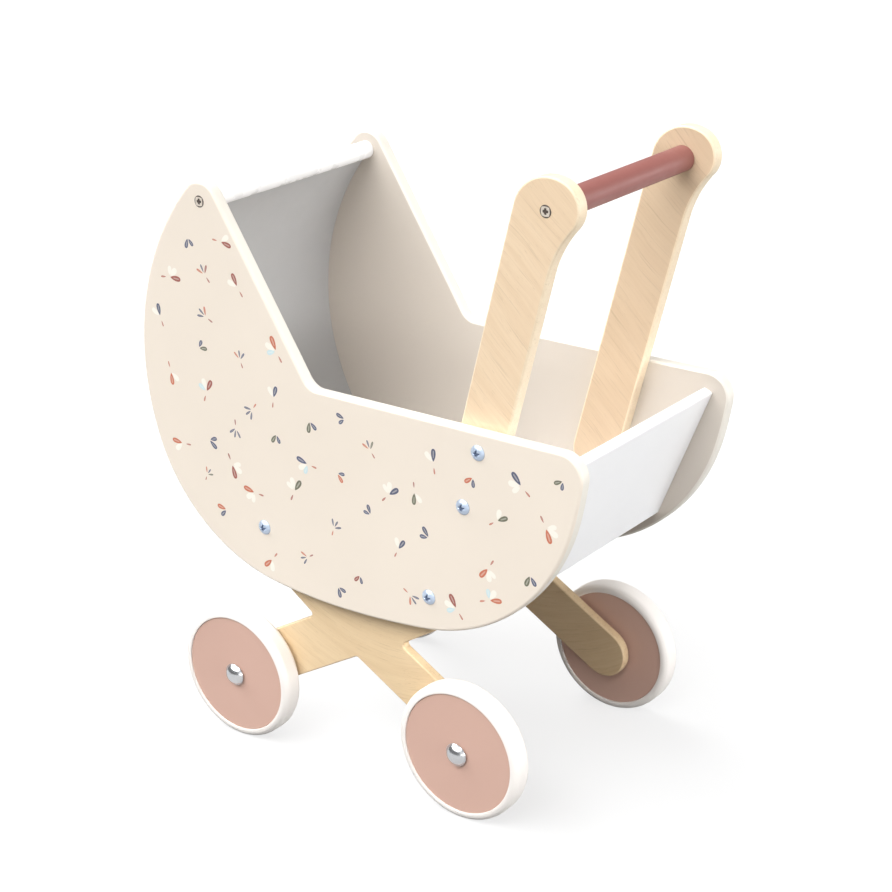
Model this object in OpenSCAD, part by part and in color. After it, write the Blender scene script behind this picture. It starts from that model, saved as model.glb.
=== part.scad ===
// Toy doll pram: two cut side panels with a hood and a rear board, a pair of
// handle arms, two crossed under-frames and four wheels that spin on dome-head
// axle bolts. Millimetres. +X is the hood end (front), +Y the left side, +Z up.
// The origin is on the ground under the middle of the bounding box.

/* [Wheels] */
// distance between the front and rear axles
wheelbase = 242; // [200:1:300]
// outer radius of the tyre, which is also the axle height
tyre_r = 60; // [50:1:75]
// radius of the wheel disc inside the tyre
disc_r = 53; // [42:0.5:66]
// width of the tyre
wheel_w = 20; // [14:1:28]
// thickness of the wheel disc
disc_t = 18; // [12:1:24]
// rounding of the tyre's tread edges
tread_round = 5.5; // [2:0.5:6]
// gap between the under-frame and the wheel, filled by the spacer
wheel_gap = 2.5; // [1.5:0.5:5]

/* [Axle bolts] */
// radius of the axle bolt's shank
axle_r = 4; // [3:0.5:5]
// radial running clearance between the shank and the bush
axle_clear = 0.05; // [0.02:0.01:0.1]
// outer radius of the bush
bush_r = 6.5; // [5.5:0.5:8]
// radius of the dome head
dome_r = 10; // [8:0.5:12]
// height of the dome head
dome_h = 6; // [4:0.5:9]

/* [Body] */
// distance between the inner faces of the side panels
inner_w = 206; // [180:1:240]
// thickness of the side panels
panel_t = 12; // [9:1:15]
// height of the level rail of the side panels
rail_z = 341.3; // [320:0.1:370]
// height of the lowest point of the side panels
belly_z = 152; // [140:1:170]
// lean of the hood's straight edge from upright
hood_lean = 32.1; // [25:0.1:40]
// radius of the hood's tip
tip_r = 18.5; // [14:0.5:24]
// fillet between the hood's edge and the rail
rail_fillet = 16; // [8:1:30]
// radius of the rear top corner
corner_r = 20; // [10:1:30]

/* [Hood, floor and rear board] */
// thickness of the bent hood shell
shell_t = 3.5; // [2.5:0.5:5]
// depth of the grooves that hold the hood shell
groove_d = 2; // [1.5:0.5:4]
// radius of the hood rod
rod_r = 8; // [7:0.5:10]
// height of the floor's underside
floor_z = 217; // [210:1:240]
// thickness of the floor board
floor_t = 9; // [6:1:12]
// thickness of the rear board
rear_t = 9; // [6:1:12]
// lean of the rear board from upright
rear_lean = 22.4; // [10:0.1:30]
// length of the rear board along its slope
rear_len = 130; // [110:1:140]

/* [Handle] */
// thickness of the handle arms
arm_t = 12; // [9:1:15]
// width of the handle arms
arm_w = 43.4; // [36:0.2:50]
// lean of the handle arms from upright
arm_lean = 15.26; // [8:0.01:22]
// radius of the front and top of the arm's head
head_r1 = 32.4; // [28:0.1:40]
// radius of the back of the arm's head
head_r2 = 22; // [16:0.5:28]
// radius of the long hollow behind the arm's head
hollow_r = 92; // [60:1:98]
// radius of the handle bar
bar_r = 10.5; // [9:0.5:13]

/* [Under-frame] */
// thickness of the crossed under-frames
frame_t = 9; // [8:1:12]
// width of the two legs of the cross
leg_w = 45; // [36:1:52]
// width of the two upper arms of the cross
pad_w = 52; // [40:1:56]
// fillet in the notches of the cross
notch_r = 3.5; // [2:0.5:10]

/* [Hidden] */
$fn = 180;
e = 0.01;
half = inner_w / 2;                 // inner face of a side panel
out = half + panel_t;               // outer face of a side panel
arm_in = half - arm_t;              // inner face of a handle arm
frame_in = half - frame_t;          // inner face of an under-frame
wheel_in = half + wheel_gap;        // inner face of a wheel
wheel_out = wheel_in + wheel_w;     // outer face of a wheel
ax = wheelbase / 2;

function dir(a) = [cos(a), sin(a)];

// side outline: arcs that meet tangentially, as centre, radius and end angles
bx = 9.3;
fr3 = 464; fr2 = 158; fr1 = 228.7;
fa3 = -81.3; fa2 = -17.8; fa1 = 43.6;
fc3 = [bx, belly_z + fr3];
fc2 = fc3 + (fr3 - fr2) * dir(fa3);
fc1 = fc2 + (fr2 - fr1) * dir(fa2);
tip = fc1 + (fr1 - tip_r) * dir(fa1);
hood_a = 180 - hood_lean;
rr3 = 700; rr2 = 170.6; rr1 = 388;
ra3 = 262.4; ra2 = 193.9;
rc3 = [bx, belly_z + rr3];
rc2 = rc3 + (rr3 - rr2) * dir(ra3);
rc1 = rc2 + (rr2 - rr1) * dir(ra2);
cz = rail_z - corner_r;
cc = [rc1.x - sqrt(pow(rr1 - corner_r, 2) - pow(rc1.y - cz, 2)), cz];
ca = 180 + atan2(rc1.y - cc.y, rc1.x - cc.x);

// straight hood edge and its meeting with the rail
hood_top = tip + tip_r * dir(hood_a);
hx = hood_top.x - (hood_top.y - rail_z) * tan(hood_lean);
fillet_c = [hx - rail_fillet * tan((90 - hood_lean) / 2), rail_z + rail_fillet];
fillet_t = fillet_c + rail_fillet * dir(hood_a + 180);

// everything is drawn about the middle of the wheelbase, then moved by this
shift = -(fc1.x + fr1 + cc.x - corner_r) / 2;

// hood rod and shell
rod_c = tip + [0, 2];
shell_c = [-16.7, 341.2];
shell_m = norm(tip - shell_c);
shell_i = shell_m - shell_t / 2;
shell_o = shell_m + shell_t / 2;
tip_a = atan2(tip.y - shell_c.y, tip.x - shell_c.x);
shell_a1 = tip_a - asin(4 / shell_m);
shell_a0 = -asin((shell_c.y - floor_z + 3) / shell_m);

// rear board: lower outer corner, up the slope and through the thickness
rb = [-169.5, 205];
rb_u = [-sin(rear_lean), cos(rear_lean)];
rb_n = [cos(rear_lean), sin(rear_lean)];
function rear_pt(u, n) = rb + u * rb_u + n * rb_n;
function rear_in_x(z) = let (p = rear_pt(0, rear_t)) p.x - (z - p.y) * tan(rear_lean);

// handle arm: its own axes lean back from the axle line
arm_f = -35.1;
arm_b = arm_f - arm_w;
arm_c = arm_f - arm_w / 2;
arm_foot = [arm_c, 214.7];
head_a1 = 100;                       // where the two arcs of the head meet
head1 = [arm_f - head_r1, 489.2];
head2 = head1 + (head_r1 - head_r2) * dir(head_a1);
head_a2 = 205.5;
head_end = head2 + head_r2 * dir(head_a2);
// a short straight of length hollow_l runs from there into the hollow; hollow_k is the
// corner that it would make with the back edge of the arm
head_d = dir(head_a2 + 90);
hollow_l = (arm_b - hollow_r - hollow_r * cos(head_a2) - head_end.x) / head_d.x;
hollow_c = head_end + hollow_l * head_d + hollow_r * dir(head_a2);
hollow_k = [arm_b, head_end.y + (arm_b - head_end.x) * head_d.y / head_d.x];
function arm_pt(p) = [p.x * cos(arm_lean) - p.y * sin(arm_lean),
                      p.x * sin(arm_lean) + p.y * cos(arm_lean) + 60];
bar_c = arm_pt([-63.5, 494.7]);

// screw places on the side: arm screws, under-frame screws
arm_screws_at = [[-122.8, 275.9], [-137.7, 324.6]];
frame_screws_at = [[-87.6, 188.5], [86.6, 206]];
floor_dowels_at = [[-128, floor_z + floor_t / 2], [0, floor_z + floor_t / 2],
                   [128, floor_z + floor_t / 2]];
rear_dowels_at = [rear_pt(34, rear_t / 2), rear_pt(96, rear_t / 2)];
dowel_r = 2.5;
screw_r = 3;                         // machine screws of the arms and frames
wood_r = 2.5;                        // wood screws of the rod and the bar
wood_head_r = 5;
sink_d = 3;                          // depth of their countersinks
insert_r = 4.5;
insert_l = 8;
axle_insert_r = 6;

// crossed under-frame
cross_c = [0, tyre_r + ax * tan(30)];
pads = [[84, 188], [-86, 184]];

// ---- helpers ----

// a flat board standing in the XZ plane, from y0 to y1
module board(y0, y1) {
  translate([shift, y1, 0]) rotate([90, 0, 0]) linear_extrude(height = y1 - y0) children();
}

// turned things along +Y from y at a point of the side view
module along(p, y) {
  translate([p.x + shift, y, p.y]) rotate([-90, 0, 0]) children();
}

// the same on both sides
module both_sides() {
  children();
  mirror([0, 1, 0]) children();
}

// the piece of a disc beyond the chord between two angles
module cap(c, r, a0, a1) {
  am = (a0 + a1) / 2;
  k = 1.05 * r / cos((a1 - a0) / 4);
  intersection() {
    translate(c) circle(r);
    polygon([c + r * dir(a0), c + k * dir(a0), c + k * dir(am), c + k * dir(a1), c + r * dir(a1)]);
  }
}

// a straight leg with the width w from p to q
module leg(p, q, w) {
  d = q - p;
  translate(p) rotate(atan2(d.y, d.x)) translate([0, -w / 2]) square([norm(d), w]);
}

// fillet in the notch between two legs that leave c at angles a and b, wa and wb wide
module notch(c, a, b, wa, wb, r) {
  m = c + ((wa / 2 + r) * dir(b) + (wb / 2 + r) * dir(a)) / sin(b - a);
  difference() {
    polygon([c, m - (r + 0.5) * dir(a + 90), m, m - (r + 0.5) * dir(b - 90)]);
    translate(m) circle(r + 0.02);
  }
}

// a plain round peg from z 0 down to -l, with a cross-recessed round head above
module screw(r, l, hr, hh) {
  s = (hr * hr + hh * hh) / (2 * hh);
  difference() {
    union() {
      translate([0, 0, -l]) cylinder(r = r, h = l + 0.5);
      intersection() {
        cylinder(r = hr, h = hh);
        translate([0, 0, hh - s]) sphere(r = s);
      }
    }
    for (a = [0, 90]) rotate([0, 0, a])
      translate([-hr * 0.42, -hr * 0.09, hh * 0.45]) cube([hr * 0.84, hr * 0.18, hh]);
  }
}

// a countersunk head flush with a face at z 0, standing proud by a hair, with a cross recess
module flat_screw(r, l, hr) {
  difference() {
    union() {
      translate([0, 0, -l]) cylinder(r = r, h = l);
      translate([0, 0, -sink_d]) cylinder(r1 = r, r2 = hr, h = sink_d);
      cylinder(r = hr, h = 0.4);
    }
    for (a = [0, 90]) rotate([0, 0, a])
      translate([-hr * 0.5, -hr * 0.1, -1.2]) cube([hr, hr * 0.2, 3]);
  }
}

// ---- body ----

module side_outline() {
  polygon([[bx, belly_z], fc3 + fr3 * dir(fa3), fc2 + fr2 * dir(fa2), fc1 + fr1 * dir(fa1),
    hood_top, fillet_t, [hx, rail_z], [fillet_c.x, rail_z], [cc.x, rail_z],
    cc + corner_r * dir(ca), rc2 + rr2 * dir(ra2), rc3 + rr3 * dir(ra3)]);
  cap(fc3, fr3, -90, fa3);
  cap(fc2, fr2, fa3, fa2);
  cap(fc1, fr1, fa2, fa1);
  cap(tip, tip_r, fa1, hood_a);
  cap(cc, corner_r, 90, ca);
  cap(rc1, rr1, ca, ra2);
  cap(rc2, rr2, ra2, ra3);
  cap(rc3, rr3, ra3, 270);
  difference() {
    polygon([[fillet_c.x, rail_z], [hx, rail_z], fillet_t, fillet_c]);
    translate(fillet_c) circle(rail_fillet);
  }
}

module shell_section() {
  intersection() {
    difference() {
      translate(shell_c) circle(shell_o);
      translate(shell_c) circle(shell_i);
    }
    polygon([shell_c, shell_c + 400 * dir(shell_a0), shell_c + 400 * dir(0),
      shell_c + 400 * dir(shell_a1)]);
  }
}

module side_panel() {
  color([0.95, 0.9, 0.84]) difference() {
    board(half, out) side_outline();
    along(rod_c, half - 1) cylinder(r = wood_r, h = panel_t + 2);
    along(rod_c, out - sink_d) cylinder(r1 = wood_r, r2 = wood_head_r, h = sink_d);
    for (p = concat(arm_screws_at, frame_screws_at))
      along(p, half - 1) cylinder(r = screw_r, h = panel_t + 2);
    for (p = concat(floor_dowels_at, rear_dowels_at))
      along(p, half - 1) cylinder(r = dowel_r, h = 9);
    board(half - 1, half + groove_d) shell_section();
  }
}

module side_panel_left() { side_panel(); }

module side_panel_right() { mirror([0, 1, 0]) side_panel(); }

module hood_shell() {
  color([0.94, 0.94, 0.94]) board(-half - groove_d, half + groove_d) shell_section();
}

module hood_rod() {
  color([0.97, 0.97, 0.97]) difference() {
    along(rod_c, -half) cylinder(r = rod_r, h = inner_w);
    board(-half - 1, half + 1) shell_section();
    both_sides() along(rod_c, half - 23) cylinder(r = wood_r, h = 24);
  }
}

module floor_board() {
  color([0.94, 0.94, 0.94]) difference() {
    board(-half, half) intersection() {
      polygon([[rear_in_x(floor_z), floor_z], [190, floor_z], [190, floor_z + floor_t],
        [rear_in_x(floor_z + floor_t), floor_z + floor_t]]);
      translate(shell_c) circle(shell_i);
    }
    both_sides() for (p = floor_dowels_at) along(p, half - 10) cylinder(r = dowel_r, h = 11);
  }
}

module rear_board() {
  color([0.94, 0.94, 0.94]) difference() {
    board(-half, half) polygon([rear_pt(0, 0), rear_pt(0, rear_t), rear_pt(rear_len, rear_t),
      rear_pt(rear_len, 0)]);
    both_sides() for (p = rear_dowels_at) along(p, half - 14) cylinder(r = dowel_r, h = 15);
  }
}

module floor_dowels() {
  color([0.8, 0.65, 0.45]) both_sides() for (p = floor_dowels_at)
    along(p, half - 10) cylinder(r = dowel_r, h = 18);
}

module rear_dowels() {
  color([0.8, 0.65, 0.45]) both_sides() for (p = rear_dowels_at)
    along(p, half - 14) cylinder(r = dowel_r, h = 22);
}

// ---- handle ----

module arm_outline() {
  translate([0, 60]) rotate(arm_lean) {
    polygon([[arm_f, arm_foot.y], [arm_f, head1.y], head1 + head_r1 * dir(head_a1), head_end,
      hollow_k, [arm_b, arm_foot.y]]);
    cap(arm_foot, arm_w / 2, 180, 360);
    cap(head1, head_r1, 0, head_a1);
    cap(head2, head_r2, head_a1, head_a2);
    difference() {
      polygon([[arm_b, hollow_c.y], hollow_k, head_end + hollow_l * head_d, hollow_c]);
      translate(hollow_c) circle(hollow_r);
    }
  }
}

module handle_arm() {
  color([0.93, 0.83, 0.7]) difference() {
    board(arm_in, half) arm_outline();
    along(bar_c, arm_in - 1) cylinder(r = wood_r, h = arm_t + 2);
    along(bar_c, half - sink_d) cylinder(r1 = wood_r, r2 = wood_head_r, h = sink_d);
    for (p = arm_screws_at) along(p, half - insert_l) cylinder(r = insert_r, h = insert_l + 1);
  }
}

module handle_arm_left() { handle_arm(); }

module handle_arm_right() { mirror([0, 1, 0]) handle_arm(); }

module handle_bar() {
  color([0.66, 0.45, 0.42]) difference() {
    along(bar_c, -arm_in) cylinder(r = bar_r, h = 2 * arm_in);
    both_sides() along(bar_c, arm_in - 23) cylinder(r = wood_r, h = 24);
  }
}

// ---- under-frame ----

module cross_outline() {
  a1 = atan2(pads[0].y - cross_c.y, pads[0].x - cross_c.x);
  a2 = atan2(pads[1].y - cross_c.y, pads[1].x - cross_c.x);
  for (s = [-1, 1]) {
    leg([s * ax, tyre_r], cross_c, leg_w);
    translate([s * ax, tyre_r]) circle(leg_w / 2);
  }
  for (p = pads) {
    leg(cross_c, p, pad_w);
    translate(p) circle(pad_w / 2);
  }
  notch(cross_c, -30, a1, leg_w, pad_w, notch_r);
  notch(cross_c, a1, a2, pad_w, pad_w, notch_r);
  notch(cross_c, a2, 210, pad_w, leg_w, notch_r);
  notch(cross_c, 210, 330, leg_w, leg_w, notch_r);
}

module cross_frame() {
  color([0.93, 0.82, 0.67]) difference() {
    board(frame_in, half) cross_outline();
    for (p = frame_screws_at) along(p, half - insert_l) cylinder(r = insert_r, h = insert_l + 1);
    for (s = [-1, 1]) along([s * ax, tyre_r], half - insert_l)
      cylinder(r = axle_insert_r, h = insert_l + 1);
  }
}

module cross_frame_left() { cross_frame(); }

module cross_frame_right() { mirror([0, 1, 0]) cross_frame(); }

// ---- screws and inserts ----

module hood_rod_screws() {
  color([0.7, 0.69, 0.66]) both_sides() along(rod_c, out)
    flat_screw(wood_r, panel_t + 22, wood_head_r);
}

module handle_bar_screws() {
  color([0.7, 0.69, 0.66]) both_sides() along(bar_c, half)
    flat_screw(wood_r, arm_t + 22, wood_head_r);
}

module arm_screws() {
  color([0.72, 0.77, 0.84]) both_sides() for (p = arm_screws_at)
    along(p, out) screw(screw_r, panel_t + insert_l - 1, 6.5, 3.2);
}

module frame_screws() {
  color([0.72, 0.77, 0.84]) both_sides() for (p = frame_screws_at)
    along(p, out) screw(screw_r, panel_t + insert_l - 1, 6.5, 3.2);
}

module insert_tube(r_out, r_in) {
  difference() {
    cylinder(r = r_out, h = insert_l);
    translate([0, 0, -1]) cylinder(r = r_in, h = insert_l + 2);
  }
}

module arm_inserts() {
  color([0.78, 0.66, 0.36]) both_sides() for (p = arm_screws_at)
    along(p, half - insert_l) insert_tube(insert_r, screw_r);
}

module frame_inserts() {
  color([0.78, 0.66, 0.36]) both_sides() for (p = frame_screws_at)
    along(p, half - insert_l) insert_tube(insert_r, screw_r);
}

module axle_inserts() {
  color([0.78, 0.66, 0.36]) both_sides() for (s = [-1, 1])
    along([s * ax, tyre_r], half - insert_l) insert_tube(axle_insert_r, axle_r);
}

module axle_spacers() {
  color([0.9, 0.9, 0.88]) both_sides() for (s = [-1, 1]) along([s * ax, tyre_r], half)
    difference() {
      cylinder(r = 9, h = wheel_gap - 0.2);
      translate([0, 0, -1]) cylinder(r = axle_r, h = wheel_gap + 2);
    }
}

// ---- wheels ----

// sx is 1 at the front and -1 at the rear, sy 1 on the left and -1 on the right
module place(sx, sy) {
  mirror([0, sy < 0 ? 1 : 0, 0]) along([sx * ax, tyre_r], wheel_in) children();
}

module axle_bolt() {
  s = (dome_r * dome_r + dome_h * dome_h) / (2 * dome_h);
  color([0.75, 0.76, 0.78]) {
    translate([0, 0, -wheel_gap - insert_l + 1])
      cylinder(r = axle_r, h = wheel_w + wheel_gap + insert_l);
    translate([0, 0, wheel_w + 0.3]) intersection() {
      cylinder(r = dome_r, h = dome_h);
      translate([0, 0, dome_h - s]) sphere(r = s);
    }
  }
}

module tyre() {
  color([0.99, 0.97, 0.94]) rotate_extrude() difference() {
    translate([disc_r, 0]) square([tyre_r - disc_r, wheel_w]);
    difference() {
      translate([tyre_r - tread_round, -1]) square([tread_round + 1, tread_round + 1]);
      translate([tyre_r - tread_round, tread_round]) circle(tread_round);
    }
    difference() {
      translate([tyre_r - tread_round, wheel_w - tread_round])
        square([tread_round + 1, tread_round + 1]);
      translate([tyre_r - tread_round, wheel_w - tread_round]) circle(tread_round);
    }
  }
}

module wheel_disc() {
  color([0.83, 0.69, 0.63]) translate([0, 0, (wheel_w - disc_t) / 2]) difference() {
    cylinder(r = disc_r, h = disc_t);
    translate([0, 0, -1]) cylinder(r = bush_r, h = disc_t + 2);
  }
}

module bush() {
  color([0.9, 0.9, 0.88]) difference() {
    cylinder(r = bush_r, h = wheel_w);
    translate([0, 0, -1]) cylinder(r = axle_r + axle_clear, h = wheel_w + 2);
  }
}

module axle_bolt_fl() { place(1, 1) axle_bolt(); }
module axle_bolt_fr() { place(1, -1) axle_bolt(); }
module axle_bolt_rl() { place(-1, 1) axle_bolt(); }
module axle_bolt_rr() { place(-1, -1) axle_bolt(); }
module tyre_fl() { place(1, 1) tyre(); }
module tyre_fr() { place(1, -1) tyre(); }
module tyre_rl() { place(-1, 1) tyre(); }
module tyre_rr() { place(-1, -1) tyre(); }
module wheel_disc_fl() { place(1, 1) wheel_disc(); }
module wheel_disc_fr() { place(1, -1) wheel_disc(); }
module wheel_disc_rl() { place(-1, 1) wheel_disc(); }
module wheel_disc_rr() { place(-1, -1) wheel_disc(); }
module bush_fl() { place(1, 1) bush(); }
module bush_fr() { place(1, -1) bush(); }
module bush_rl() { place(-1, 1) bush(); }
module bush_rr() { place(-1, -1) bush(); }

side_panel_left();
side_panel_right();
hood_shell();
hood_rod();
floor_board();
rear_board();
handle_arm_left();
handle_arm_right();
handle_bar();
cross_frame_left();
cross_frame_right();
floor_dowels();
rear_dowels();
hood_rod_screws();
handle_bar_screws();
arm_screws();
arm_inserts();
frame_screws();
frame_inserts();
axle_inserts();
axle_spacers();
axle_bolt_fl();
axle_bolt_fr();
axle_bolt_rl();
axle_bolt_rr();
tyre_fl();
wheel_disc_fl();
bush_fl();
tyre_fr();
wheel_disc_fr();
bush_fr();
tyre_rl();
wheel_disc_rl();
bush_rl();
tyre_rr();
wheel_disc_rr();
bush_rr();
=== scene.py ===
import math
import random

import bmesh
import bpy
from mathutils import Matrix, Vector


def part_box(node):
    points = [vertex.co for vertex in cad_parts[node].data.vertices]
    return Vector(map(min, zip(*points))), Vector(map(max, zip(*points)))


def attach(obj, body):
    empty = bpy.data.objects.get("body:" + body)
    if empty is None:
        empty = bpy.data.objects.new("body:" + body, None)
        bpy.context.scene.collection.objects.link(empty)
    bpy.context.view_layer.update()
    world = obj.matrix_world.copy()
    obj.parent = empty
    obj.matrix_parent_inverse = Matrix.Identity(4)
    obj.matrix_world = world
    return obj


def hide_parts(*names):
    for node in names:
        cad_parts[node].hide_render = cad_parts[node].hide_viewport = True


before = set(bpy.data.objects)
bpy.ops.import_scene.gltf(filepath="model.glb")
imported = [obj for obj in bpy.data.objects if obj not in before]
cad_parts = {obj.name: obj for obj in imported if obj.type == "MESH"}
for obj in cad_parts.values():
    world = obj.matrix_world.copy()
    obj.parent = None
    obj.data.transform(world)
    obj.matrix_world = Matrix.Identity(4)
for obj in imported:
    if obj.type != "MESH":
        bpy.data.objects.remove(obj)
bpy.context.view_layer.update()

MM = 0.001
BODY = "pram_body"


def centre_of(node):
    lo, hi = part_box(node)
    return [(a + b) / 2 for a, b in zip(lo, hi)]


# The side view is drawn in mm about the middle of the wheelbase, as in the CAD source.
# Left pieces stand between two of these distances from the middle plane, right ones mirror them.
AXLES = {k: centre_of("wheel_disc_" + k) for k in ("fl", "fr", "rl", "rr")}
SHIFT = (AXLES["fl"][0] + AXLES["rl"][0]) / 2
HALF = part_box("side_panel_left")[0][1] / MM  # inner face of the left panel
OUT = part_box("side_panel_left")[1][1] / MM  # its outer face
ARM_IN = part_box("handle_arm_left")[0][1] / MM
FRAME_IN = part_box("cross_frame_left")[0][1] / MM
WHEELBASE = (AXLES["fl"][0] - AXLES["rl"][0]) / MM
AXLE_Z = AXLES["fl"][2] / MM


# ---------------------------------------------------------------- outlines
def unit(a):
    """The direction at a degrees in the side view."""
    return Vector((math.cos(math.radians(a)), math.sin(math.radians(a))))


def arc(c, r, a0, a1, step=3.0):
    """Points on a circle from a0 to a1 degrees, about step mm apart."""
    n = max(3, int(abs(math.radians(a1 - a0)) * r / step), int(abs(a1 - a0) / 7) + 1)
    return [c + r * unit(a0 + (a1 - a0) * i / n) for i in range(n + 1)]


def tidy(points):
    """Drops points that repeat the one before."""
    out = []
    for p in points:
        if not out or (p - out[-1]).length > 0.02:
            out.append(p)
    if (out[0] - out[-1]).length < 0.02:
        out.pop()
    return out


def chain(start, radii, angles):
    """Centres of arcs that run smoothly into each other at the given angles."""
    centres = [start]
    for r0, r1, a in zip(radii, radii[1:], angles[1:]):
        centres.append(centres[-1] + (r0 - r1) * unit(a))
    return centres


# Side panel. From the lowest point, three arcs lead up the front to the round tip, and three
# up the rear to the rail's round corner. The angles are where one arc meets the next.
FINE = 1.2  # step along small arcs
BELLY = (9.3, 152.0)
RAIL, HOOD_LEAN = 341.3, 32.1  # the rail's height, and the hood's slope from upright
TIP_R, RAIL_FILLET, CORNER_R = 18.5, 16, 20
FRONT_R, FRONT_A = (464, 158, 228.7, TIP_R), (-90, -81.3, -17.8, 43.6)
REAR_R, REAR_A = (700, 170.6, 388), (270, 262.4, 193.9)
FRONT_C = chain(Vector((BELLY[0], BELLY[1] + FRONT_R[0])), FRONT_R, FRONT_A)
REAR_C = chain(Vector((BELLY[0], BELLY[1] + REAR_R[0])), REAR_R, REAR_A)
TIP = FRONT_C[-1]
HOOD_A = 180 - HOOD_LEAN

# Hood sheet: part of a cylinder through the tip.
SHELL_C = Vector((-16.7, 341.2))
SHELL_R = (TIP - SHELL_C).length
SHELL_HALF = 1.75  # half its thickness


def side_outline():
    pts = []
    for c, r, a0, a1 in zip(FRONT_C, FRONT_R, FRONT_A, FRONT_A[1:]):
        pts += arc(c, r, a0, a1)
    pts += arc(TIP, TIP_R, FRONT_A[-1], HOOD_A, FINE)

    top = TIP + TIP_R * unit(HOOD_A)
    foot = top.x - (top.y - RAIL) * math.tan(math.radians(HOOD_LEAN))
    back = RAIL_FILLET * math.tan(math.radians((90 - HOOD_LEAN) / 2))
    pts += arc(Vector((foot - back, RAIL + RAIL_FILLET)), RAIL_FILLET, HOOD_A - 180, -90, FINE)

    last, z = REAR_C[-1], RAIL - CORNER_R
    reach = math.sqrt((REAR_R[-1] - CORNER_R) ** 2 - (last.y - z) ** 2)
    corner = Vector((last.x - reach, z))
    meet = 180 + math.degrees(math.atan2(last.y - corner.y, last.x - corner.x))
    pts += arc(corner, CORNER_R, 90, meet, FINE)
    angles = [meet, *reversed(REAR_A)]
    for c, r, a0, a1 in zip(reversed(REAR_C), reversed(REAR_R), angles, angles[1:]):
        pts += arc(c, r, a0, a1)
    return tidy(pts)


def arm_outline():
    """A straight bar with a bulged head, drawn upright and then tilted back."""
    front, width, foot_z, head_z = -35.1, 43.4, 214.7, 489.2
    head_r, back_r, hollow_r = 32.4, 22.0, 92.0  # the head's front and back, and its hollow
    meet, leave = 100.0, 205.5  # where the head's two arcs meet, and where the back one ends
    tilt, pivot_z, step = math.radians(15.26), 60, 1.5
    rear = front - width
    head = Vector((front - head_r, head_z))
    back = head + (head_r - back_r) * unit(meet)
    end, d = back + back_r * unit(leave), unit(leave + 90)
    run = (rear - hollow_r - hollow_r * unit(leave).x - end.x) / d.x
    hollow = end + run * d + hollow_r * unit(leave)
    pts = arc(Vector((front - width / 2, foot_z)), width / 2, 180, 360, step)
    pts += arc(head, head_r, 0, meet, step) + arc(back, back_r, meet, leave, step)
    pts += arc(hollow, hollow_r, leave - 180, 0, 2)
    co, si = math.cos(tilt), math.sin(tilt)
    return tidy([Vector((p.x * co - p.y * si, p.x * si + p.y * co + pivot_z)) for p in pts])


def cross_outline():
    """Four round-ended legs from one crossing, with a small fillet in each notch."""
    leg_r, top_r, notch = 22.5, 26, 3.5
    ax = WHEELBASE / 2
    o = Vector((0, AXLE_Z + ax * math.tan(math.radians(30))))
    ends = ((ax, AXLE_Z, leg_r), (84, 188, top_r), (-86, 184, top_r), (-ax, AXLE_Z, leg_r))
    legs = []
    for x, z, r in ends:
        e = Vector((x, z))
        d = e - o
        legs.append((math.degrees(math.atan2(d.y, d.x)) % 360, e, r))
    legs[0] = (legs[0][0] - 360, *legs[0][1:])
    pts = []
    for i, (a, e, r) in enumerate(legs):
        b, _, rb = legs[(i + 1) % 4]
        b += 360 if i == 3 else 0
        pts += arc(e, r, a - 90, a + 90, 1.5)
        m = ((r + notch) * unit(b) + (rb + notch) * unit(a)) / math.sin(math.radians(b - a))
        pts += arc(o + m, notch, a - 90, b - 270, 0.8)
    return tidy(pts)


def board_outline(pts, r):
    """A polygon (anticlockwise) with its corners rounded."""
    out = []
    for i, p in enumerate(pts):
        a = (pts[i - 1] - p).normalized()
        b = (pts[(i + 1) % len(pts)] - p).normalized()
        half = a.angle(b) / 2
        c = p + (a + b).normalized() * r / math.sin(half)
        n0, n1 = Vector((-a.y, a.x)), Vector((b.y, -b.x))
        t0 = math.degrees(math.atan2(n0.y, n0.x))
        t1 = math.degrees(math.atan2(n1.y, n1.x))
        while t1 < t0:
            t1 += 360
        out += arc(c, r, t0, t1, 0.4)
    return tidy(out)


# ---------------------------------------------------------------- mesh tools
def finish_mesh(name, bm, mats, body, nodes, sharp=None):
    """Makes the object that stands for the CAD nodes; edges sharper than sharp degrees stay."""
    bmesh.ops.remove_doubles(bm, verts=bm.verts, dist=1e-7)
    bmesh.ops.recalc_face_normals(bm, faces=bm.faces)
    me = bpy.data.meshes.new(name)
    bm.to_mesh(me)
    bm.free()
    me.shade_smooth()
    if sharp:
        me.set_sharp_from_angle(angle=math.radians(sharp))
    for m in mats:
        me.materials.append(m)
    o = bpy.data.objects.new(name, me)
    bpy.context.scene.collection.objects.link(o)
    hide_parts(*nodes)
    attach(o, body)
    return o


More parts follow.
